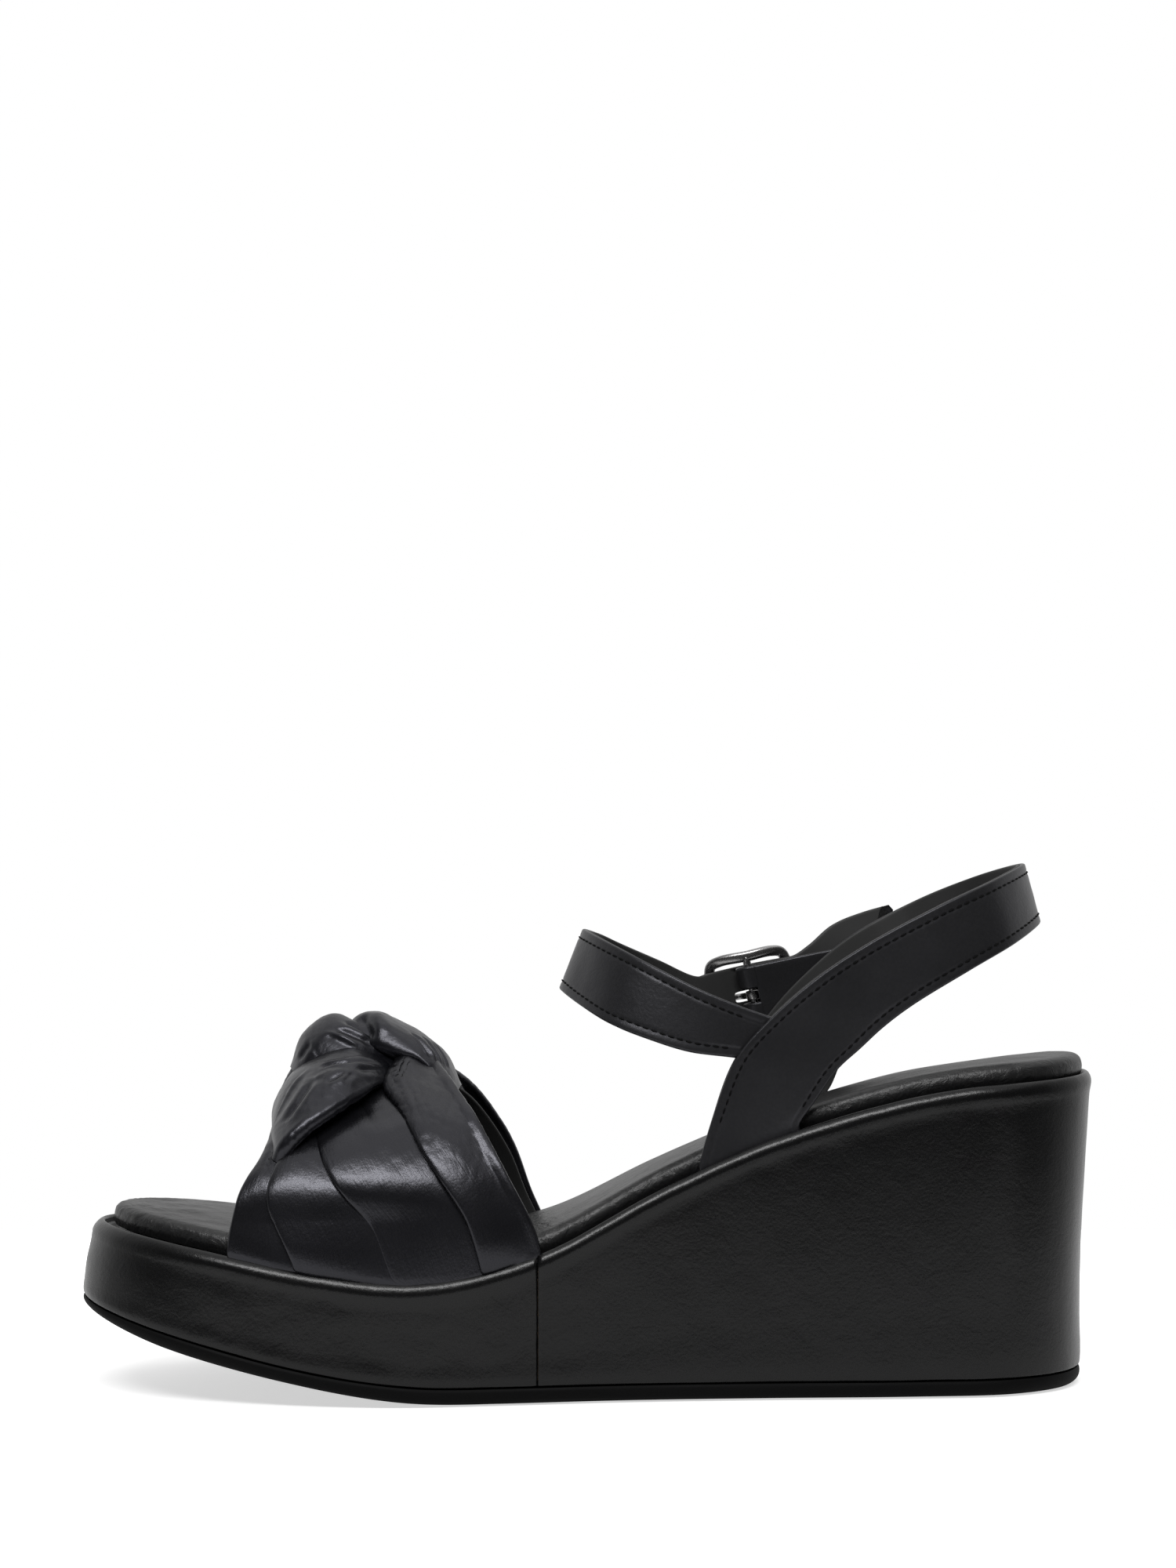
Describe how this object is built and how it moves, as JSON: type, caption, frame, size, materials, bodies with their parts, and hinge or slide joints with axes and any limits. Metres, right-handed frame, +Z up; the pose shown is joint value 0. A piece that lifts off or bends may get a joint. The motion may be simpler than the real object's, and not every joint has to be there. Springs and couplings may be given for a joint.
{
  "type": "wedge sandal",
  "caption": "Black leather platform wedge sandal for the right foot, with a knotted front band, a heel strap and a buckled ankle strap.",
  "frame": {"origin": "on the floor, in the middle of the sandal's bounding box", "axes": "+X from toe to heel, +Y from the inner to the outer side of the foot, +Z up"},
  "size_m": [0.248, 0.0906, 0.1266],
  "materials": {
    "outsole_rubber": "matt",
    "core": "cut cork or foam, not seen",
    "wrap_leather": "smooth, semi-gloss",
    "filler": "felt, not seen",
    "shank_steel": "plain",
    "board": "fibre board, not seen",
    "foam": "foam, not seen",
    "footbed_leather": "smooth, satin",
    "upper_leather": "soft, fine grain, satin",
    "lining_leather": "matt",
    "buckle_metal": "dark nickel"
  },
  "bodies": {
    "sole": {"outsole": "outsole_rubber", "wedge_core": "core", "toe_wrap": "wrap_leather", "wedge_wrap": "wrap_leather", "filler_sheet": "filler", "shank": "shank_steel", "shank_rivet_front": "shank_steel", "shank_rivet_rear": "shank_steel", "insole_board": "board", "footbed_foam": "foam", "footbed_cover": "footbed_leather", "front_band_inner_half": "upper_leather", "front_band_outer_half": "upper_leather", "front_band_lining": "lining_leather", "knot_loop_under": "upper_leather", "knot_loop_over": "upper_leather", "heel_strap_root_inner": "upper_leather", "heel_strap_root_outer": "upper_leather"},
    "heel_loop": {"heel_strap": "upper_leather", "heel_strap_lining": "lining_leather"},
    "ankle_loop": {"ankle_strap": "upper_leather", "ankle_strap_lining": "lining_leather", "buckle_tab": "upper_leather"},
    "buckle": {"buckle_frame": "buckle_metal"},
    "prong": {"buckle_prong": "buckle_metal"}
  },
  "joints": [
    {"name": "heel_strap_flex", "type": "hinge", "parent": "sole", "child": "heel_loop", "pos_m": [0.0425, 0, 0.0585], "axis": [0, 1, 0], "range_deg": [-8, 8], "stiffness_Nm_per_rad": 0.5},
    {"name": "ankle_strap_flex", "type": "hinge", "parent": "heel_loop", "child": "ankle_loop", "pos_m": [0.052, 0, 0.089], "axis": [0, 1, 0], "range_deg": [-4.5, 10], "stiffness_Nm_per_rad": 0.35},
    {"name": "buckle_tilt", "type": "hinge", "parent": "ankle_loop", "child": "buckle", "pos_m": [0.0422, 0.0312, 0.0923], "axis": [-0.2079, 0, 0.9781], "range_deg": [-3, 3]},
    {"name": "prong_lift", "type": "hinge", "parent": "buckle", "child": "prong", "pos_m": [0.0422, 0.0312, 0.0923], "axis": [0.2079, 0, -0.9781], "range_deg": [0, 30]}
  ]
}
